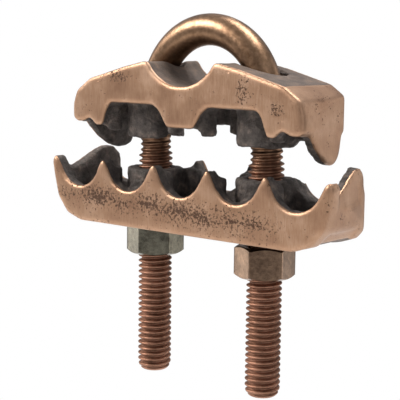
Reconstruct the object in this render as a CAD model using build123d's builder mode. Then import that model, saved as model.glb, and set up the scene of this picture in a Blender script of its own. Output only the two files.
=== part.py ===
"""Earth rod clamp: a U-bolt, two toothed cast bronze jaws and two hex nuts.

Frame (mm): X across the two legs, Y along the rod, Z up.
Origin at the centre of the U-bend, midway between the legs.
"""
import os
from math import atan2, cos, degrees, radians, sin, tan

from build123d import *

os.makedirs("parts", exist_ok=True)

# ---- U-bolt
LEG_SPACING = 39.2        # centre to centre of the legs
THREAD_DIA = 9.525        # 3/8 in thread, modelled plain at its major diameter
SHANK_DIA = 8.6           # rolled-thread blank, left bare over the bend
LEG_END_Z = -77.6         # tip of each leg
THREAD_TOP_Z = -14.5      # where the thread runs out into the bare shank
LEG_TIP_ROUND = 2.6       # rounding of each leg tip

# ---- both jaws
FRONT_Y = -13.0           # front face
BACK_Y = 9.0              # back face
FRONT_WALL = 4.4
BACK_WALL = 3.6
HOLE_DIA = 9.7            # holes that run on the thread crests
BOSS_DIA = 16.4           # metal round each hole
LIP_T = 3.6               # thickness of the end lips

# ---- upper jaw
UP_HALF = 40.2            # half width
UP_TAPER = 2.6            # each end draws in by this much towards the back
UP_CEIL_Z = -0.8          # underside of the roof
ROD_SEAT_R = 13.5         # rod saddle
ROD_SEAT_Z = 4.7          # lowest line of the rod saddle
SHOULDER_X = 12.6         # top corner of each saddle side
SHOULDER_Z = 11.2
UP_TOOTH_Z = -6.6         # lower edge of the centre bulge and the teeth
UP_BOSS_Z = -10.6         # lower face of the leg bosses
UP_LIP_Z = -14.6          # tip of the end lips

# ---- lower jaw
LOW_HALF = 49.0           # half width, over the hooked ends
LOW_TAPER = 4.6           # each end draws in by this much towards the back
GROOVE_PITCH = 19.0       # five cable grooves
GROOVE_R = 7.6
GROOVE_ARC = 60.0         # the round part of a groove spans this angle to each side
GROOVE_Z = -24.6          # lowest line of the grooves
TOOTH_Z = -16.8           # crest of the teeth
LOW_BOTTOM_Z = -34.9      # underside
LOW_FLOOR_Z = -29.2       # floor between the walls
LOW_BOSS_Z = -18.6        # top of the leg bosses
LOW_LIP_Z = -14.6         # crest of the end lips

# ---- nuts
NUT_AF = 14.3             # across flats
NUT_H = 8.4
NUT_BORE_DIA = 9.65       # plain bore, running on the thread crests
RIGHT_NUT_GAP = 1.8       # the right nut is slack by this much
NUT_TURN = 22.0           # turn of both hexagons about their legs

half_s = LEG_SPACING / 2
depth = BACK_Y - FRONT_Y
mid_y = (FRONT_Y + BACK_Y) / 2
walls = ((FRONT_Y, FRONT_WALL), (BACK_Y - BACK_WALL, BACK_WALL))
inner_front = FRONT_Y + FRONT_WALL
inner_back = BACK_Y - BACK_WALL


def mirrored(points):
    """The points, then their mirror images about X = 0 in reverse order."""
    return points + [(-x, z) for x, z in reversed(points) if x != 0]


# ================= U-bolt =================
with BuildPart() as u_bolt:
    with BuildLine(Plane.XZ) as spine:
        Line((-half_s, THREAD_TOP_Z), (-half_s, 0))
        ThreePointArc((-half_s, 0), (0, half_s), (half_s, 0))
        Line((half_s, 0), (half_s, THREAD_TOP_Z))
    with BuildSketch(Plane.XY.offset(THREAD_TOP_Z)) as shank_end:
        with Locations((-half_s, 0)):
            Circle(SHANK_DIA / 2)
    sweep(path=spine.wire())
    leg_len = THREAD_TOP_Z - LEG_END_Z
    with Locations((-half_s, 0, LEG_END_Z), (half_s, 0, LEG_END_Z)):
        Cylinder(THREAD_DIA / 2, leg_len, align=(Align.CENTER, Align.CENTER, Align.MIN))
    tips = u_bolt.faces().sort_by(Axis.Z)[0:2].edges()
    fillet(tips, LEG_TIP_ROUND)
    runout = u_bolt.edges().filter_by(GeomType.CIRCLE).filter_by_position(
        Axis.Z, THREAD_TOP_Z - 0.01, THREAD_TOP_Z + 0.01)
    runout = [e for e in runout if abs(e.radius - THREAD_DIA / 2) < 0.01]
    chamfer(runout, 0.4)
u_bolt.part.label = "u_bolt"
export_step(u_bolt.part, "parts/u_bolt.step")

# ================= upper jaw =================
up_wall = [
    (SHOULDER_X, SHOULDER_Z),
    (UP_HALF / 2, SHOULDER_Z - 1.6),
    (UP_HALF - 6.7, 6.0),
    (UP_HALF - 1.4, 2.4),
    (UP_HALF, -1.6),
    (UP_HALF, -5.4),
    (UP_HALF - 1.6, UP_TOOTH_Z),
    (UP_HALF - 4.0, UP_TOOTH_Z),
    (UP_HALF - 6.8, UP_TOOTH_Z + 1.4),
    (UP_HALF - 8.8, UP_TOOTH_Z - 0.6),
    (UP_HALF - 11.4, UP_TOOTH_Z - 0.8),
    (UP_HALF - 13.6, UP_CEIL_Z - 1.0),
    (UP_HALF - 14.8, UP_CEIL_Z),
    (9.6, UP_CEIL_Z),
    (7.6, UP_CEIL_Z - 1.2),
    (4.6, UP_TOOTH_Z),
]
up_roof = up_wall[0:6] + [
    (UP_HALF - 3.8, -5.4),
    (UP_HALF - 6.6, UP_CEIL_Z),
]
saddle_z = ROD_SEAT_Z + ROD_SEAT_R

# one end lip, on the +X side: a drafted wall whose lower edge hangs as a rounded claw
with BuildPart() as up_lip:
    with BuildSketch(Plane.YZ) as claw:
        with BuildLine():
            Line((inner_front, 0), (BACK_Y - 0.6, 0))
            Line((BACK_Y - 0.6, 0), (BACK_Y - 1.2, -7.0))
            Spline((BACK_Y - 1.2, -7.0), (2.6, UP_LIP_Z), (-3.0, UP_LIP_Z + 2.4), (inner_front, UP_TOOTH_Z))
            Line((inner_front, UP_TOOTH_Z), (inner_front, 0))
        make_face()
    extrude(amount=UP_HALF + 5)
    with BuildSketch(Plane.XY.offset(-20)) as footprint:
        Polygon(
            (UP_HALF, FRONT_Y),
            (UP_HALF - UP_TAPER, BACK_Y),
            (UP_HALF - UP_TAPER - LIP_T, BACK_Y),
            (UP_HALF - LIP_T, FRONT_Y),
            align=None,
        )
    extrude(amount=30, mode=Mode.INTERSECT)

with BuildPart() as upper_jaw:
    # front and back walls, with the toothed lower edge
    for y_front, thick in walls:
        with BuildSketch(Plane.XZ.offset(-y_front)) as wall_outline:
            Polygon(*mirrored(up_wall), align=None)
            soft = [v for v in wall_outline.vertices() if abs(v.X) > SHOULDER_X + 1 or v.Y < 5]
            fillet(soft, 0.9)
            with Locations((0, saddle_z)):
                Circle(ROD_SEAT_R, mode=Mode.SUBTRACT)
        extrude(amount=-thick)
    # roof between the walls
    with BuildSketch(Plane.XZ.offset(-FRONT_Y - 0.5)) as roof_outline:
        Polygon(*mirrored(up_roof), align=None)
        with Locations((0, saddle_z)):
            Circle(ROD_SEAT_R, mode=Mode.SUBTRACT)
    extrude(amount=-(depth - 1.0))
    # posts behind the front wall and before the back wall
    post_xs = (11.6 - UP_HALF, -6.0, 6.0, UP_HALF - 11.6)
    with Locations([(x, y, UP_CEIL_Z + 1) for x in post_xs for y in (inner_front + 1.2, inner_back - 0.6)]):
        Cylinder(2.4, 9.0, align=(Align.CENTER, Align.CENTER, Align.MAX))
    # bosses round the legs
    with Locations((-half_s, 0, UP_BOSS_Z), (half_s, 0, UP_BOSS_Z)):
        Cylinder(BOSS_DIA / 2, 8.0 - UP_BOSS_Z, align=(Align.CENTER, Align.CENTER, Align.MIN))
    # end lips
    add(up_lip.part)
    add(mirror(up_lip.part, about=Plane.YZ))
    # both ends draw in towards the back
    with BuildSketch(Plane.XY.offset(-30)) as draft:
        for s in (-1, 1):
            Polygon(
                (s * (UP_HALF + 0.01), inner_front),
                (s * (UP_HALF + 9), inner_front),
                (s * (UP_HALF + 9), BACK_Y + 1),
                (s * (UP_HALF - UP_TAPER), BACK_Y + 1),
                align=None,
            )
    extrude(amount=60, mode=Mode.SUBTRACT)
    # leg holes, opened inward to follow the bend
    with Locations((-half_s, 0, 0), (half_s, 0, 0)):
        Cylinder(HOLE_DIA / 2, 60, mode=Mode.SUBTRACT)
    with Locations(Rot(90, 0, 0)):
        Torus(half_s, HOLE_DIA / 2, mode=Mode.SUBTRACT)
    # the saddle runs clear through
    with Locations(Pos(0, mid_y, saddle_z) * Rot(90, 0, 0)):
        Cylinder(ROD_SEAT_R, depth + 10, mode=Mode.SUBTRACT)
upper_jaw.part.label = "upper_jaw"
export_step(upper_jaw.part, "parts/upper_jaw.step")

# ================= lower jaw =================
groove_c = GROOVE_Z + GROOVE_R
arc_x = GROOVE_R * sin(radians(GROOVE_ARC))
arc_z = groove_c - GROOVE_R * cos(radians(GROOVE_ARC))
above = 6.0
mouth_x = arc_x + (TOOTH_Z + above - arc_z) / tan(radians(GROOVE_ARC))
low_wall = [
    (LOW_HALF - 0.8, TOOTH_Z),
    (LOW_HALF, TOOTH_Z - 1.6),
    (LOW_HALF - 0.8, -22.6),
    (LOW_HALF - 2.4, -28.6),
    (LOW_HALF - 6.2, -33.2),
    (LOW_HALF - 11.4, LOW_BOTTOM_Z),
]
low_floor = [
    (LOW_HALF - 1.4, -23.5),
    (LOW_HALF - 3.2, -28.6),
    (LOW_HALF - 6.8, -33.0),
    (LOW_HALF - 12.0, LOW_BOTTOM_Z + 0.2),
]


def groove_cut(x):
    """The outline of one groove in the current sketch: a round bottom with straight sides."""
    with Locations((x, groove_c)):
        Circle(GROOVE_R, mode=Mode.SUBTRACT)
    Polygon(
        (x - arc_x, arc_z),
        (x + arc_x, arc_z),
        (x + mouth_x, TOOTH_Z + above),
        (x - mouth_x, TOOTH_Z + above),
        align=None,
        mode=Mode.SUBTRACT,
    )


# one end lip, on the +X side: it rises towards the back
with BuildPart() as low_lip:
    with BuildSketch(Plane.YZ) as crest:
        with BuildLine():
            Line((FRONT_Y + 1, -30), (BACK_Y - 0.6, -30))
            Line((BACK_Y - 0.6, -30), (BACK_Y - 0.6, LOW_LIP_Z - 2.6))
            Spline((BACK_Y - 0.6, LOW_LIP_Z - 2.6), (BACK_Y - 3.4, LOW_LIP_Z), (0.0, LOW_LIP_Z - 1.4), (FRONT_Y + 1, TOOTH_Z - 2.6))
            Line((FRONT_Y + 1, TOOTH_Z - 2.6), (FRONT_Y + 1, -30))
        make_face()
    extrude(amount=LOW_HALF + 5)
    with BuildSketch(Plane.XY.offset(-40)) as footprint:
        Polygon(
            (LOW_HALF - 0.3, FRONT_Y),
            (LOW_HALF - LOW_TAPER, BACK_Y),
            (LOW_HALF - LOW_TAPER - LIP_T, BACK_Y),
            (LOW_HALF - LIP_T, FRONT_Y),
            align=None,
        )
    extrude(amount=40, mode=Mode.INTERSECT)
    # below, it follows the outline of the front wall
    with BuildSketch(Plane.XZ.offset(20)) as sweep_up:
        Polygon((LOW_HALF, -5), *low_wall[1:], (0, LOW_BOTTOM_Z), (0, -5), align=None)
        fillet([v for v in sweep_up.vertices() if -34 < v.Y < TOOTH_Z - 3], 1.2)
    extrude(amount=-40, mode=Mode.INTERSECT)

with BuildPart() as lower_jaw:
    for y_front, thick in walls:
        with BuildSketch(Plane.XZ.offset(-y_front)) as wall_outline:
            Polygon(*mirrored(low_wall), align=None)
            fillet([v for v in wall_outline.vertices() if v.Y < TOOTH_Z - 3], 1.2)
            for i in (-2, -1, 0, 1, 2):
                groove_cut(i * GROOVE_PITCH)
            fillet([v for v in wall_outline.vertices() if abs(v.Y - TOOTH_Z) < 0.05], 0.4)
        extrude(amount=-thick)
    # floor between the walls
    with BuildSketch(Plane.XZ.offset(-FRONT_Y - 0.5)) as floor_outline:
        Polygon(*mirrored(low_floor), align=None)
        with Locations((0, LOW_FLOOR_Z)):
            Rectangle(2 * LOW_HALF - 11.0, 20.0, align=(Align.CENTER, Align.MIN), mode=Mode.SUBTRACT)
    extrude(amount=-(depth - 1.0))
    # posts behind the teeth
    tooth_xs = [i * GROOVE_PITCH for i in (-1.5, -0.5, 0.5, 1.5)]
    with Locations([(x, y, LOW_FLOOR_Z - 1) for x in tooth_xs for y in (inner_front + 1.2, inner_back - 0.6)]):
        Cylinder(2.4, TOOTH_Z - LOW_FLOOR_Z - 0.8, align=(Align.CENTER, Align.CENTER, Align.MIN))
    # end lips
    add(low_lip.part)
    add(mirror(low_lip.part, about=Plane.YZ))
    # bosses round the legs
    with Locations((-half_s, 0, LOW_BOTTOM_Z + 1), (half_s, 0, LOW_BOTTOM_Z + 1)):
        Cylinder(BOSS_DIA / 2, LOW_BOSS_Z - LOW_BOTTOM_Z - 1, align=(Align.CENTER, Align.CENTER, Align.MIN))
    # the middle groove runs clear through
    with BuildSketch(Plane.XZ.offset(-FRONT_Y + 1)) as through:
        with Locations((0, groove_c)):
            Circle(GROOVE_R)
        Polygon(
            (-arc_x, arc_z),
            (arc_x, arc_z),
            (mouth_x, TOOTH_Z + above),
            (-mouth_x, TOOTH_Z + above),
            align=None,
        )
    extrude(amount=-(depth + 2), mode=Mode.SUBTRACT)
    # the end grooves run through too, drawn in like the ends
    swing = degrees(atan2(LOW_TAPER, depth))
    for s in (-1, 1):
        with Locations(Pos(s * 2 * GROOVE_PITCH, FRONT_Y, groove_c) * Rot(0, 0, s * swing) * Rot(90, 0, 0)):
            Cylinder(GROOVE_R, 2 * depth + 20, mode=Mode.SUBTRACT)
    # both ends draw in towards the back
    with BuildSketch(Plane.XY.offset(-50)) as draft:
        for s in (-1, 1):
            Polygon(
                (s * (LOW_HALF + 0.01), inner_front),
                (s * (LOW_HALF + 9), inner_front),
                (s * (LOW_HALF + 9), BACK_Y + 1),
                (s * (LOW_HALF - LOW_TAPER), BACK_Y + 1),
                align=None,
            )
    extrude(amount=50, mode=Mode.SUBTRACT)
    # leg holes
    with Locations((-half_s, 0, -30), (half_s, 0, -30)):
        Cylinder(HOLE_DIA / 2, 60, mode=Mode.SUBTRACT)
lower_jaw.part.label = "lower_jaw"
export_step(lower_jaw.part, "parts/lower_jaw.step")

# ================= nuts =================
nut_r = NUT_AF / 2 / cos(radians(30))

with BuildPart() as left_nut:
    with BuildSketch(Plane.XY.offset(LOW_BOTTOM_Z - NUT_H)) as hexagon:
        with Locations((-half_s, 0)):
            RegularPolygon(nut_r, 6, rotation=NUT_TURN)
            Circle(NUT_BORE_DIA / 2, mode=Mode.SUBTRACT)
    extrude(amount=NUT_H)
left_nut.part.label = "left_nut"
export_step(left_nut.part, "parts/left_nut.step")

with BuildPart() as right_nut:
    with BuildSketch(Plane.XY.offset(LOW_BOTTOM_Z - RIGHT_NUT_GAP - NUT_H)) as hexagon:
        with Locations((half_s, 0)):
            RegularPolygon(nut_r, 6, rotation=NUT_TURN)
            Circle(NUT_BORE_DIA / 2, mode=Mode.SUBTRACT)
    extrude(amount=NUT_H)
right_nut.part.label = "right_nut"
export_step(right_nut.part, "parts/right_nut.step")
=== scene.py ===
"""Looks of the earth rod clamp: two cast jaws, a threaded U-bolt and two hex nuts."""
from math import ceil, cos, pi, radians, sin, sqrt, tan

import bpy
import numpy as np
from mathutils import Matrix, Vector, noise


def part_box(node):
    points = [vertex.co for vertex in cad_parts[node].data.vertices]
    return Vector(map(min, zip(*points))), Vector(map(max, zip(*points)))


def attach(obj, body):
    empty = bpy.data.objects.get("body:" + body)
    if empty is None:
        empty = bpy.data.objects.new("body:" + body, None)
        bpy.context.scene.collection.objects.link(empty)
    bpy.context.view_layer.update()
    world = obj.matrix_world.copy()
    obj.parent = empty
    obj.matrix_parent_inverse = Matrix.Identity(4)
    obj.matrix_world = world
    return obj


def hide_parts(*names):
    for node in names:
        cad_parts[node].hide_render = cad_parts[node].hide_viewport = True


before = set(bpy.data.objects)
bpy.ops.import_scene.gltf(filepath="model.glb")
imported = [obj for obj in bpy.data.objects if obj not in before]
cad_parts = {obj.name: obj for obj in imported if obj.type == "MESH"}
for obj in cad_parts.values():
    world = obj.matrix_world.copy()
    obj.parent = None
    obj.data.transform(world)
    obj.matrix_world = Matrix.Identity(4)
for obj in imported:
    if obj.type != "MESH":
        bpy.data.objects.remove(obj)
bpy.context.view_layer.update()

scene = bpy.context.scene

# ---------------------------------------------------------------- sizes, in millimetres
MM = 0.001                           # a millimetre in metres
bolt_lo, bolt_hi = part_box("u_bolt")
THREAD_R = bolt_hi.y / MM            # crests of the thread
LEG_X = bolt_hi.x / MM - THREAD_R    # axis of each leg, and radius of the bend
LEG_END = bolt_lo.z / MM             # tips of the legs
SHANK_R = bolt_hi.z / MM - LEG_X     # bare shank and bend

PITCH = 25.4 / 16                    # sixteen threads to the inch
THREAD_DEPTH = 0.92
THREAD_TOP = -14.5                   # from here down the crests stand above the shank
THREAD_SHOULDER = 0.5                # height over which they rise
RUNOUT_TOP = -9.4                    # above this the shank is bare
RUNOUT_PITCHES = 2.0                 # turns over which the groove reaches its depth
RUNOUT_SHARE = 0.7                   # depth of the groove in the shank, as a share of the full one
CREST_FLAT = 0.10                    # crest and flank, as shares of half a pitch
FLANK = 0.78
TIP_HEIGHT = 2.6                     # rounded tip of each leg
TIP_INSET = 2.2                      # flat end of the tip, this much inside the thread
TIP_BULGE = 0.83                     # how far the rounding swells, as a share of a quarter circle
TIP_START = 0.02                     # the flat end cuts the rounding this far up

LEG_HOLE_R = 4.85                    # holes of the jaws for the legs

NUT_FLATS = 14.3                     # across flats
NUT_BORE_R = 4.86
NUT_TURN = radians(39.5)             # how the hexagons stand on the legs
NUT_BORE_CHAMFER = 0.8
NUT_CHAMFER_R = NUT_FLATS / 2 * 0.965
NUT_CHAMFER_SLOPE = tan(radians(30))
NUT_CORNER_CUT = 0.12                # off each corner of the hexagon
NUT_EDGE = (0.02, 0.12)              # narrow band where the chamfer meets the sides


# ---------------------------------------------------------------- shader helpers
class Shader:
    """Short names for building a tree of shader nodes."""

    def __init__(self, tree):
        self.tree = tree

    def node(self, kind):
        return self.tree.nodes.new("ShaderNode" + kind)

    def feed(self, value, socket):
        """Sets the socket to a number or a colour, or links another node's output to it."""
        if isinstance(value, (int, float, tuple)):
            socket.default_value = value
        else:
            self.tree.links.new(value, socket)

    def math(self, operation, a, b=0.0, clamp=False):
        n = self.node("Math")
        n.operation = operation
        n.use_clamp = clamp
        self.feed(a, n.inputs[0])
        self.feed(b, n.inputs[1])
        return n.outputs[0]

    def plus(self, a, b):
        return self.math("ADD", a, b)

    def minus(self, a, b, clamp=False):
        return self.math("SUBTRACT", a, b, clamp)

    def times(self, a, b):
        return self.math("MULTIPLY", a, b)

    def over(self, a, b, clamp=False):
        return self.math("DIVIDE", a, b, clamp)

    def blend(self, share, a, b):
        """The share of b, and the rest of a."""
        return self.plus(self.times(a, 1 - share), self.times(b, share))

    def noise(self, place, scale, detail, rough, stretch=None, output="Fac"):
        if stretch:
            mapping = self.node("Mapping")
            self.feed(stretch, mapping.inputs["Scale"])
            self.feed(place, mapping.inputs[0])
            place = mapping.outputs[0]
        n = self.node("TexNoise")
        self.feed(scale, n.inputs["Scale"])
        self.feed(detail, n.inputs["Detail"])
        self.feed(rough, n.inputs["Roughness"])
        self.feed(place, n.inputs["Vector"])
        return n.outputs[output]

    def ramp(self, value, stops):
        n = self.node("ValToRGB")
        elements = n.color_ramp.elements
        while len(elements) > 1:
            elements.remove(elements[-1])
        elements[0].position, elements[0].color = stops[0]
        for position, colour in stops[1:]:
            elements.new(position).color = colour
        self.feed(value, n.inputs[0])
        return n.outputs[0]

    def rise(self, value, start, end, top=1.0):
        """Goes from 0 to top while the value goes from start to end."""
        return self.ramp(value, [(start, grey(0)), (end, grey(top))])

    def mix_number(self, share, a, b):
        n = self.node("Mix")
        self.feed(share, n.inputs[0])
        self.feed(a, n.inputs[2])
        self.feed(b, n.inputs[3])
        return n.outputs[0]

    def mix_colour(self, share, a, b):
        n = self.node("Mix")
        n.data_type = "RGBA"
        self.feed(share, n.inputs[0])
        self.feed(a, n.inputs[6])
        self.feed(b, n.inputs[7])
        return n.outputs[2]

    def bump(self, height, distance, strength=1.0):
        n = self.node("Bump")
        self.feed(strength, n.inputs["Strength"])
        self.feed(distance, n.inputs["Distance"])
        self.feed(height, n.inputs["Height"])
        return n.outputs[0]

    def mesh_value(self, name):
        n = self.node("Attribute")
        n.attribute_name = name
        return n.outputs["Fac"]

    def place_in_mm(self):
        """Position on the piece in millimetres, and its X, Y and Z."""
        scale = self.node("VectorMath")
        scale.operation = "SCALE"
        self.feed(1 / MM, scale.inputs["Scale"])
        self.feed(self.node("TexCoord").outputs["Object"], scale.inputs[0])
        axes = self.node("SeparateXYZ")
        self.feed(scale.outputs[0], axes.inputs[0])
        return scale.outputs[0], axes.outputs

    def glow(self, kind, colour, strength):
        """Even light of one colour, from a surface or from all round."""
        n = self.node(kind)
        self.feed(colour, n.inputs[0])
        self.feed(strength, n.inputs[1])
        return n.outputs[0]

    def split_by_camera(self, others, camera):
        """One look for the camera, and another for the light that reaches everything else."""
        mix = self.node("MixShader")
        self.feed(self.node("LightPath").outputs["Is Camera Ray"], mix.inputs[0])
        self.feed(others, mix.inputs[1])
        self.feed(camera, mix.inputs[2])
        return mix.outputs[0]


def grey(value):
    return (value, value, value, 1.0)


def new_shader(owner, output_kind):
    """Empties the tree of a material or a world, and gives it and the socket of its look."""
    owner.use_nodes = True
    owner.node_tree.nodes.clear()
    shader = Shader(owner.node_tree)
    return shader, shader.node(output_kind).inputs[0]


def new_material(name):
    """A material with one surface, its shader, and the inputs of the surface."""
    material = bpy.data.materials.new(name)
    shader, look = new_shader(material, "OutputMaterial")
    surface = shader.node("BsdfPrincipled")
    shader.feed(surface.outputs[0], look)
    return material, shader, surface.inputs


# ---------------------------------------------------------------- cast bronze
GROUND_TONES = [(0.3, (0.26, 0.14, 0.084, 1)),
                (0.5, (0.36, 0.212, 0.13, 1)),
                (0.68, (0.47, 0.305, 0.208, 1))]
INNER_TONES = [(0.3, (0.032, 0.026, 0.023, 1)),
               (0.55, (0.105, 0.086, 0.076, 1)),
               (0.75, (0.27, 0.205, 0.165, 1))]
OUTER_TONES = [(0.3, (0.07, 0.052, 0.043, 1)),
               (0.55, (0.125, 0.09, 0.07, 1)),
               (0.75, (0.2, 0.13, 0.09, 1))]
GROUND_WEAR = 0.5        # how far the edge of the ground metal wanders
GROUND_EDGE = (0.38, 0.56)   # the skin gives way to ground metal between these
BLOTCH_SHARE = 0.65      # of the ground metal's tone, the rest being brushing

PIT_COLOUR = (0.065, 0.033, 0.022, 1)
PIT_COVER = 0.88
PIT_WARP = 1.6           # how far the round pits are pulled out of shape
PIT_THRESHOLD = 0.69     # a fine pit lies where the noise is above this
PIT_CROWDING = 0.225     # how much a band or a cluster lowers the threshold
PIT_SOFTNESS = 0.035

BAND_LEAN = 0.035        # a band of pits leans, and thins out towards both ends
BAND_HALF_LENGTH = 48.0
BAND_ENDS = [(0.0, grey(0.3)), (0.08, grey(1)), (0.74, grey(1)), (0.88, grey(0.3)), (1.0, grey(0.15))]
BAND_CLOUD = 0.45        # the part of a band's pits that comes in clouds
BAND_EVEN = 0.58         # the part that is even

SKIN_ROUGH = 0.62
SKIN_METALLIC = 0.45
GROUND_ROUGH = 0.30
GROUND_METALLIC = 0.82
TONE_ROUGH = 0.25        # paler and pitted ground metal is rougher
PIT_ROUGH = 0.3
OUTER_SMOOTHING = 0.8    # outward skin is this much smoother than the inner walls
BRUSH_RELIEF = 0.05
PIT_RELIEF = -0.35
BRONZE_RELIEF = 0.9 * MM


def pit_density(s, place, xyz, band, clusters):
    """How thick the fine pits lie: in a band along the casting and in clusters on its front."""
    density = 0.0
    if band:
        middle, half_height, gain = band
        cloud = s.rise(s.noise(place, scale=0.085, detail=3.0, rough=0.6), 0.40, 0.56)
        lean = s.plus(xyz["Z"], s.times(xyz["X"], BAND_LEAN))
        off = s.math("ABSOLUTE", s.minus(lean, middle))
        near = s.minus(1.0, s.over(off, half_height), clamp=True)
        along = s.over(s.plus(xyz["X"], BAND_HALF_LENGTH), 2 * BAND_HALF_LENGTH)
        strength = s.times(s.times(near, s.ramp(along, BAND_ENDS)), gain)
        density = s.times(strength, s.plus(s.times(cloud, BAND_CLOUD), BAND_EVEN))
    for x, z, half_width, half_height, gain in clusters:
        across = s.over(s.minus(xyz["X"], x), half_width)
        up = s.over(s.minus(xyz["Z"], z), half_height)
        near = s.minus(1.0, s.plus(s.times(across, across), s.times(up, up)), clamp=True)
        near = s.times(near, s.math("LESS_THAN", xyz["Y"], 0.0))
        density = s.math("MAXIMUM", density, s.times(near, gain))
    return density


def porosity(s, place, xyz, band, clusters):
    """Small dark pits: fine ones where they are dense, and rare round ones anywhere."""
    density = pit_density(s, place, xyz, band, clusters)
    threshold = s.minus(PIT_THRESHOLD, s.times(density, PIT_CROWDING))
    speckle = s.noise(place, scale=1.15, detail=4.0, rough=0.75)
    fine = s.rise(s.minus(speckle, threshold), 0.0, PIT_SOFTNESS)

    warped = s.node("VectorMath")
    warped.operation = "MULTIPLY_ADD"
    s.feed(s.noise(place, scale=1.3, detail=2.0, rough=0.5, output="Color"), warped.inputs[0])
    s.feed((PIT_WARP, PIT_WARP, PIT_WARP), warped.inputs[1])
    s.feed(place, warped.inputs[2])
    cells = s.node("TexVoronoi")
    s.feed(0.95, cells.inputs["Scale"])
    s.feed(warped.outputs[0], cells.inputs["Vector"])
    dot = s.ramp(cells.outputs["Distance"], [(0.13, grey(1)), (0.24, grey(0))])
    rare = s.rise(s.noise(place, scale=0.22, detail=2.0, rough=0.5), 0.53, 0.60)
    return s.math("MAXIMUM", fine, s.times(dot, rare))


def cast_bronze(name, band=None, clusters=()):
    """Ground bronze with pits, and as-cast skin where the mesh isn't ground."""
    material, s, surface = new_material(name)
    place, xyz = s.place_in_mm()
    outer = s.mesh_value("outer")
    wear = s.times(s.minus(s.noise(place, scale=0.45, detail=5.0, rough=0.6), 0.5), GROUND_WEAR)
    ground = s.rise(s.plus(s.mesh_value("ground"), wear), *GROUND_EDGE)

    # ground metal: fine brushing in one direction over soft blotches
    brush = s.noise(place, scale=1.0, detail=3.0, rough=0.6, stretch=(5.5, 5.5, 0.35))
    blotch = s.noise(place, scale=0.13, detail=4.0, rough=0.6)
    tone = s.blend(BLOTCH_SHARE, brush, blotch)
    pits = porosity(s, place, xyz, band, clusters)
    metal = s.mix_colour(s.times(pits, PIT_COVER), s.ramp(tone, GROUND_TONES), PIT_COLOUR)

    # as-cast skin: dark and oxidised, with copper on the high spots, and browner outside
    patches = s.noise(place, scale=0.35, detail=6.0, rough=0.65)
    skin = s.mix_colour(outer, s.ramp(patches, INNER_TONES), s.ramp(patches, OUTER_TONES))

    rough = s.plus(s.plus(s.times(tone, TONE_ROUGH), GROUND_ROUGH), s.times(pits, PIT_ROUGH))
    s.feed(s.mix_colour(ground, skin, metal), surface["Base Color"])
    s.feed(s.mix_number(ground, SKIN_ROUGH, rough), surface["Roughness"])
    s.feed(s.mix_number(ground, SKIN_METALLIC, GROUND_METALLIC), surface["Metallic"])

    coarseness = s.times(s.minus(1.0, ground), s.minus(1.0, s.times(outer, OUTER_SMOOTHING)))
    sand = s.noise(place, scale=0.9, detail=6.0, rough=0.7)
    height = s.plus(s.times(sand, coarseness), s.times(brush, BRUSH_RELIEF))
    height = s.plus(height, s.times(s.times(pits, ground), PIT_RELIEF))
    s.feed(s.bump(height, BRONZE_RELIEF), surface["Normal"])
    return material


# ---------------------------------------------------------------- plated steel
# colour of the grime stains and of the painted shade in the thread's groove
GRIME_AND_SHADE_COLOUR = (0.05, 0.03, 0.02, 1)
VALLEY_SHADE = 0.15          # painted shade: the groove of the thread darkened by its depth
TONE_RANGE = (0.36, 0.62)
GRAIN_SHARE = 0.4            # of the plating's tone, the rest being blotches
GRAIN_ROUGH = 0.22
GRIME_AND_SHADE_ROUGH = 0.25
LEG_FADE_TOP = 12.0          # the legs' own tones begin this far below the bend's centre
LEG_FADE_HEIGHT = 12.0       # and are full this much further down
LEG_FADE_WANDER = 8.0        # blotches move both upwards by up to this
LEG_EXTRA_ROUGH = 0.16
PLATING_RELIEF = 0.10 * MM
PLATING_BUMP = 0.6


def plated(name, low, high, rough, grime, legs=None):
    """Plated steel of two drifting tones with grime on it and painted shade in the groove of the thread,
    and other tones on the legs if given.
    """
    material, s, surface = new_material(name)
    place, xyz = s.place_in_mm()
    blotch = s.noise(place, scale=0.16, detail=5.0, rough=0.62)
    grain = s.noise(place, scale=0.9, detail=5.0, rough=0.65)
    tone = s.blend(GRAIN_SHARE, blotch, grain)
    base = s.ramp(tone, list(zip(TONE_RANGE, (low, high))))
    roughness = s.plus(s.times(grain, GRAIN_ROUGH), rough)
    if legs:
        below = s.plus(s.times(xyz["Z"], -1.0), s.times(blotch, LEG_FADE_WANDER))
        on_legs = s.over(s.minus(below, LEG_FADE_TOP), LEG_FADE_HEIGHT, clamp=True)
        base = s.mix_colour(on_legs, base, s.ramp(tone, list(zip(TONE_RANGE, legs))))
        roughness = s.plus(roughness, s.times(on_legs, LEG_EXTRA_ROUGH))
    stain = s.rise(s.noise(place, scale=0.5, detail=6.0, rough=0.7), 0.52, 0.72, top=grime)
    # grime stains, and painted shade darkening the thread's groove by its depth
    dark = s.math("MAXIMUM", stain, s.times(s.mesh_value("valley"), VALLEY_SHADE))
    s.feed(s.mix_colour(dark, base, GRIME_AND_SHADE_COLOUR), surface["Base Color"])
    s.feed(1.0, surface["Metallic"])
    s.feed(s.plus(roughness, s.times(dark, GRIME_AND_SHADE_ROUGH)), surface["Roughness"])
    s.feed(s.bump(grain, PLATING_RELIEF, PLATING_BUMP), surface["Normal"])
    return material


# ---------------------------------------------------------------- mesh helpers
def new_piece(name, mesh, material=None):
    piece = bpy.data.objects.new(name, mesh)
    scene.collection.objects.link(piece)
    if material:
        mesh.materials.append(material)
    return piece


def new_mesh(name, verts, faces):
    mesh = bpy.data.meshes.new(name)
    mesh.from_pydata(verts, [], faces)
    mesh.update()
    return mesh


def shade_smooth(mesh):
    for polygon in mesh.polygons:
        polygon.use_smooth = True


def keep_value(mesh, name, values):
    """Stores one number for each point, for the material to read."""
    mesh.attributes.new(name, "FLOAT", "POINT").data.foreach_set("value", values.astype(np.float32))


def point_vectors(mesh, what):
    vectors = np.zeros(len(mesh.vertices) * 3)
    mesh.vertices.foreach_get(what, vectors)
    return vectors.reshape(-1, 3)


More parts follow.
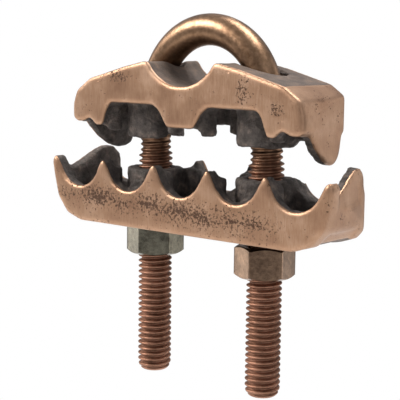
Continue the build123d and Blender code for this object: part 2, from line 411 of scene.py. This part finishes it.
def ramp_up(value, start, width):
    return np.clip((value - start) / width, 0, 1)


# ---------------------------------------------------------------- jaws
VOXEL = 0.42
SOFTENING_PASSES = 30
SOFTENING = 0.5

GROUND_DEPTH = 1.2           # ground metal reaches this far behind the front and back faces
GROUND_FADE = 0.6
GROUND_END = 7.0             # length of the ground ends
GROUND_END_FADE = 0.8
GROUND_END_SHARE = 0.95
OUTER_END = 8.0              # length of the ends whose skin counts as outer
FACING = (0.15, 0.25)        # where a face starts to count as turned outwards, and over what range

SKIN_COARSE = (0.33, 0.5)    # uneven skin: bumps a millimetre, and height before SKIN_SHARE
SKIN_FINE = (0.9, 0.22)
SKIN_SUNK = 0.3              # how far the skin lies below the ground faces, before SKIN_SHARE
SKIN_SHARE = 0.7             # the share of these heights that is used
SKIN_CALM = 0.75             # outward skin is this much more even
GROUND_ENOUGH = 0.9          # from here on a point stays on its ground face


def softened_casting(node_name, new_name):
    """A copy of the casting, remeshed evenly and with its edges rounded."""
    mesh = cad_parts[node_name].data.copy()
    mesh.materials.clear()
    piece = new_piece(new_name, mesh)
    remesh = piece.modifiers.new("remesh", "REMESH")
    remesh.mode = "VOXEL"
    remesh.voxel_size = VOXEL * MM
    soften = piece.modifiers.new("soft", "SMOOTH")
    soften.factor = SOFTENING
    soften.iterations = SOFTENING_PASSES
    depsgraph = bpy.context.evaluated_depsgraph_get()
    baked = bpy.data.meshes.new_from_object(piece.evaluated_get(depsgraph))
    baked.name = new_name
    piece.modifiers.clear()
    piece.data = baked
    return piece


def ground_and_outer(points, normals, lo, hi, away):
    """For each point, how far it is ground and how far its skin is turned away from the other jaw."""
    y = points[:, 1] / MM
    from_faces = np.minimum(y - lo.y / MM, hi.y / MM - y)
    from_middle = np.abs(points[:, 0]) / MM
    turned_out = np.sign(points[:, 0]) * normals[:, 0]
    faces = ramp_up(GROUND_DEPTH - from_faces, 0, GROUND_FADE)
    ends = ramp_up(from_middle, hi.x / MM - GROUND_END, GROUND_END_FADE) * ramp_up(turned_out, *FACING)
    ground = np.clip(np.maximum(faces, ends * GROUND_END_SHARE), 0, 1)
    on_end = from_middle > hi.x / MM - OUTER_END
    outer = ramp_up(np.maximum(normals[:, 2] * away, turned_out * on_end), *FACING)
    return ground, outer


def uneven_skin(points, ground, outer):
    """Height of the as-cast skin at each point, before SKIN_SHARE, and none on the ground faces."""
    height = np.zeros(len(points))
    for i in range(len(points)):
        if ground[i] < GROUND_ENOUGH:
            place = Vector(points[i] / MM)
            calm = 1 - SKIN_CALM * outer[i]
            coarse = noise.noise(place * SKIN_COARSE[0]) * SKIN_COARSE[1] * calm
            fine = noise.noise(place * SKIN_FINE[0]) * SKIN_FINE[1] * calm
            height[i] = (coarse + fine - SKIN_SUNK) * (1 - ground[i])
    return height


def open_leg_holes(points):
    """Softening narrows the leg holes, so they are opened again to their own radius."""
    for side in (-1, 1):
        axis_x = side * LEG_X * MM
        dx = points[:, 0] - axis_x
        distance = np.maximum(np.hypot(dx, points[:, 1]), 1e-9)
        opening = np.maximum(1.0, LEG_HOLE_R * MM / distance)
        points[:, 0] = axis_x + dx * opening
        points[:, 1] = points[:, 1] * opening


def cast_jaw(node_name, new_name, material, away):
    """The casting with softened edges and a lightly uneven skin; away is 1 upwards, -1 downwards."""
    piece = softened_casting(node_name, new_name)
    points = point_vectors(piece.data, "co")
    normals = point_vectors(piece.data, "normal")
    lo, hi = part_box(node_name)
    ground, outer = ground_and_outer(points, normals, lo, hi, away)
    points += normals * (uneven_skin(points, ground, outer) * MM)[:, None] * SKIN_SHARE
    open_leg_holes(points)
    points = np.clip(points, np.array(lo), np.array(hi))
    piece.data.vertices.foreach_set("co", points.ravel())
    keep_value(piece.data, "ground", ground)
    keep_value(piece.data, "outer", outer)
    shade_smooth(piece.data)
    piece.data.materials.append(material)
    piece.data.update()
    return piece


# clusters of pits on the upper jaw: X and Z of the middle, half width, half height, strength
upper_bronze = cast_bronze("bronze_upper", clusters=(
    (-22, 6.5, 5.5, 2.4, 0.95),
    (21.5, 4.0, 3.6, 6.0, 0.85),
    (32.0, 0.2, 3.2, 3.0, 0.95)))
# band of pits on the lower jaw: Z of the middle, half height, strength
lower_bronze = cast_bronze("bronze_lower", band=(-28.6, 6.5, 1.25))

upper = cast_jaw("upper_jaw", "upper_jaw_cast", upper_bronze, 1)
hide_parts("upper_jaw")
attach(upper, "upper_jaw")
lower = cast_jaw("lower_jaw", "lower_jaw_cast", lower_bronze, -1)
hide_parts("lower_jaw")
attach(lower, "lower_jaw")

# ---------------------------------------------------------------- U-bolt with cut thread
RING_POINTS = 40
RINGS_A_PITCH = 12
SHANK_RINGS = 8
BEND_RINGS = 64


def clamp(value):
    return min(1.0, max(0.0, value))


def thread_profile(z, angle):
    """Radius of a leg at height z and this angle, and how deep in the groove that is, from 0 to 1."""
    phase = (z / PITCH - angle / (2 * pi)) % 1.0
    from_crest = abs(phase - 0.5) * 2.0
    flank = clamp((from_crest - CREST_FLAT) / FLANK)
    groove = flank * flank * (3 - 2 * flank)
    crest = clamp((THREAD_TOP - z) / THREAD_SHOULDER)
    started = clamp((RUNOUT_TOP - z) / (RUNOUT_PITCHES * PITCH))
    depth = THREAD_DEPTH * (RUNOUT_SHARE + (1 - RUNOUT_SHARE) * crest)
    radius = SHANK_R + (THREAD_R - SHANK_R) * crest - depth * groove * started
    from_tip = z - LEG_END + TIP_START
    if from_tip < TIP_HEIGHT:
        bulge = sqrt(max(0.0, TIP_HEIGHT ** 2 - (TIP_HEIGHT - from_tip) ** 2))
        radius = min(radius, THREAD_R - TIP_INSET + bulge * TIP_BULGE)
    return radius, groove * started


def bare_shank(_angle):
    """The same radius all round, with no groove."""
    return SHANK_R, 0.0


def leg_profile(z):
    return lambda angle: thread_profile(z, angle)


def bend_path():
    """Middle and outward direction of each ring from the right leg's runout to the left one's."""
    path = []
    for i in range(1, SHANK_RINGS + 1):
        path.append((Vector((LEG_X, 0, RUNOUT_TOP * (1 - i / SHANK_RINGS))), Vector((1, 0, 0))))
    for i in range(1, BEND_RINGS + 1):
        a = pi * i / BEND_RINGS
        path.append((Vector((LEG_X * cos(a), 0, LEG_X * sin(a))), Vector((cos(a), 0, sin(a)))))
    for i in range(1, SHANK_RINGS):
        path.append((Vector((-LEG_X, 0, RUNOUT_TOP * i / SHANK_RINGS)), Vector((-1, 0, 0))))
    return path


def bolt_mesh(name):
    """Both threaded legs and the bend between them, as one closed skin."""
    verts, faces, valley = [], [], []

    def ring(middle, outward, profile):
        """Points round the middle, from outward towards +Y; gives the index of the first."""
        start = len(verts)
        for k in range(RING_POINTS):
            a = 2 * pi * k / RING_POINTS
            radius, depth = profile(a)
            point = middle + outward * (cos(a) * radius) + Vector((0, 1, 0)) * (sin(a) * radius)
            verts.append(tuple(point * MM))
            valley.append(depth)
        return start

    def join(first, second, match=lambda k: k):
        """Faces between two rings, where match gives the second ring's point for each of the first."""
        for k in range(RING_POINTS):
            after = (k + 1) % RING_POINTS
            faces.append((first + k, first + after, second + match(after), second + match(k)))

    def leg(side):
        threaded = RUNOUT_TOP - LEG_END
        rows = ceil(threaded / (PITCH / RINGS_A_PITCH))
        heights = [LEG_END + threaded * i / rows for i in range(rows + 1)]
        return [ring(Vector((side * LEG_X, 0, z)), Vector((1, 0, 0)), leg_profile(z)) for z in heights]

    right, left = leg(1), leg(-1)
    right_and_bend = right + [ring(middle, outward, bare_shank) for middle, outward in bend_path()]
    for first, second in zip(right_and_bend, right_and_bend[1:]):
        join(first, second)
    # the bend's last ring starts at -X and the left leg's at +X, and they run opposite ways round
    join(right_and_bend[-1], left[-1], lambda k: (RING_POINTS // 2 - k) % RING_POINTS)
    for first, second in zip(left, left[1:]):
        join(first, second)
    for tip in (right[0], left[0]):
        faces.append(tuple(tip + k for k in reversed(range(RING_POINTS))))

    mesh = new_mesh(name, verts, faces)
    keep_value(mesh, "valley", np.array(valley))
    shade_smooth(mesh)
    return mesh


bolt_plating = plated("bolt_plating", (0.15, 0.083, 0.046, 1), (0.31, 0.19, 0.115, 1), 0.24, 0.45,
                      legs=((0.2, 0.1, 0.063, 1), (0.36, 0.19, 0.128, 1)))
bolt = new_piece("u_bolt_threaded", bolt_mesh("u_bolt_threaded"), bolt_plating)
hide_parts("u_bolt")
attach(bolt, "u_bolt")

# ---------------------------------------------------------------- nuts
NUT_POINTS = 144
NUT_SHARP = radians(25)      # edges above this angle stay sharp


def hexagon(angle):
    """Distance from the nut's axis to its side, with the corners cut a little short."""
    from_flat = ((angle - NUT_TURN) % (pi / 3)) - pi / 6
    return min(NUT_FLATS / 2 / cos(from_flat), NUT_FLATS / 2 / cos(pi / 6) - NUT_CORNER_CUT)


def circle(radius):
    return lambda angle: radius


def nut_mesh(name, cad):
    """A hex nut with chamfered corners and bore, as one closed skin."""
    lo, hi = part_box(cad)
    axis_x = (lo.x + hi.x) / 2 / MM
    verts, faces = [], []
    # one end of the nut, from the bore outwards: each outline and how far inside the end it lies
    outlines = [(circle(NUT_BORE_R), NUT_BORE_CHAMFER),
                (circle(NUT_BORE_R + NUT_BORE_CHAMFER), 0.0),
                (circle(NUT_CHAMFER_R), 0.0)]
    outlines += [(hexagon, inset) for inset in NUT_EDGE]

    def ring(outline, inset, end, inwards):
        """Points along the outline near one end; inwards is 1 at the bottom end, -1 at the top one."""
        start = len(verts)
        for k in range(NUT_POINTS):
            a = 2 * pi * k / NUT_POINTS
            radius = outline(a)
            chamfer = max(0.0, radius - NUT_CHAMFER_R) * NUT_CHAMFER_SLOPE
            z = end + inwards * chamfer + inwards * inset
            verts.append(((axis_x + radius * cos(a)) * MM, radius * sin(a) * MM, z * MM))
        return start

    rings = [ring(outline, inset, lo.z / MM, 1) for outline, inset in outlines]
    rings += [ring(outline, inset, hi.z / MM, -1) for outline, inset in reversed(outlines)]
    for first, second in zip(rings, rings[1:] + rings[:1]):
        for k in range(NUT_POINTS):
            after = (k + 1) % NUT_POINTS
            faces.append((first + k, first + after, second + after, second + k))
    mesh = new_mesh(name, verts, faces)
    shade_smooth(mesh)
    mesh.set_sharp_from_angle(angle=NUT_SHARP)
    return mesh


for cad, low, high in (
    ("left_nut", (0.065, 0.06, 0.046, 1), (0.19, 0.177, 0.135, 1)),
    ("right_nut", (0.085, 0.053, 0.036, 1), (0.23, 0.15, 0.10, 1)),
):
    nut_plating = plated(cad + "_plating", low, high, 0.07, 0.4)
    nut = new_piece(cad + "_chamfered", nut_mesh(cad + "_chamfered", cad), nut_plating)
    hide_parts(cad)
    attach(nut, cad)

# ---------------------------------------------------------------- floor and surroundings, in metres
WHITE = (1, 1, 1, 1)
FLOOR_HALF = 3
FLOOR_Z = -0.20
FLOOR_COLOUR = (0.85, 0.84, 0.83, 1)
SKY_STRENGTH = 0.55
SKY_TONES = [(0.0, (0.05, 0.045, 0.04, 1)), (0.42, (0.12, 0.11, 0.10, 1)),
             (0.55, (0.55, 0.56, 0.6, 1)), (1.0, (0.95, 0.97, 1.0, 1))]

corners = [(x * FLOOR_HALF, y * FLOOR_HALF, FLOOR_Z) for x, y in ((-1, -1), (1, -1), (1, 1), (-1, 1))]
floor_mesh = new_mesh("floor", corners, [(0, 1, 2, 3)])
floor_material = bpy.data.materials.new("pale_floor")
floor_shader, floor_look = new_shader(floor_material, "OutputMaterial")
matt = floor_shader.node("BsdfDiffuse")
floor_shader.feed(FLOOR_COLOUR, matt.inputs[0])
plain_white = floor_shader.glow("Emission", WHITE, 1.0)
floor_shader.feed(floor_shader.split_by_camera(matt.outputs[0], plain_white), floor_look)
floor = new_piece("floor", floor_mesh, floor_material)

world = bpy.data.worlds.new("studio")
scene.world = world
sky_shader, sky_look = new_shader(world, "OutputWorld")
direction = sky_shader.node("SeparateXYZ")
sky_shader.feed(sky_shader.node("TexCoord").outputs["Generated"], direction.inputs[0])
steepness = sky_shader.plus(sky_shader.times(direction.outputs["Z"], 0.5), 0.5)
sky = sky_shader.glow("Background", sky_shader.ramp(steepness, SKY_TONES), SKY_STRENGTH)
backdrop = sky_shader.glow("Background", WHITE, 1.0)
sky_shader.feed(sky_shader.split_by_camera(sky, backdrop), sky_look)


# ---------------------------------------------------------------- lights, in metres and watts
LIGHT_TARGET = (0, 0, -0.02)


def area_light(name, place, size, watts, colour):
    data = bpy.data.lights.new(name, "AREA")
    data.shape = "RECTANGLE"
    data.size, data.size_y = size
    data.energy = watts
    data.color = colour
    light = bpy.data.objects.new(name, data)
    scene.collection.objects.link(light)
    light.location = place
    light.rotation_mode = "QUATERNION"
    light.rotation_quaternion = (Vector(LIGHT_TARGET) - Vector(place)).to_track_quat("-Z", "Y")


area_light("key", (-0.48, -0.38, 0.42), (0.36, 0.30), 6.8, (1, 0.98, 0.95))
area_light("fill", (0.60, -0.30, 0.15), (0.30, 0.5), 0.7, (0.95, 0.97, 1))
area_light("rim_left", (-0.60, -0.10, 0.0), (0.12, 0.5), 0.5, (1, 0.95, 0.88))
area_light("rim_right", (0.30, 0.52, 0.05), (0.14, 0.5), 0.5, (1, 0.95, 0.88))
area_light("top", (0.05, 0.15, 0.60), (0.4, 0.25), 4.2, (1, 1, 1))

# ---------------------------------------------------------------- camera: from the right, a little above
YAW = radians(40.3)
PITCH_DOWN = radians(7.75)
ROLL = radians(0.7)
CAMERA_PLACE = Vector((0.2031, -0.2431, 0.0165))
LENS = 105.2

ahead = Vector((-sin(YAW) * cos(PITCH_DOWN), cos(YAW) * cos(PITCH_DOWN), -sin(PITCH_DOWN)))
level = Vector((cos(YAW), sin(YAW), 0))
above = level.cross(ahead)
camera_right = level * cos(ROLL) + above * sin(ROLL)
camera_up = above * cos(ROLL) - level * sin(ROLL)
camera_data = bpy.data.cameras.new("camera")
camera_data.sensor_width = 36.0
camera_data.lens = LENS
camera_data.clip_start = 0.01
camera_data.clip_end = 20.0
camera = bpy.data.objects.new("camera", camera_data)
scene.collection.objects.link(camera)
stand = Matrix((camera_right, camera_up, -ahead)).transposed().to_4x4()
stand.translation = CAMERA_PLACE
camera.matrix_world = stand
scene.camera = camera

scene.view_settings.view_transform = "Standard"
scene.view_settings.look = "None"
scene.view_settings.exposure = 0.0
scene.view_settings.gamma = 1.0
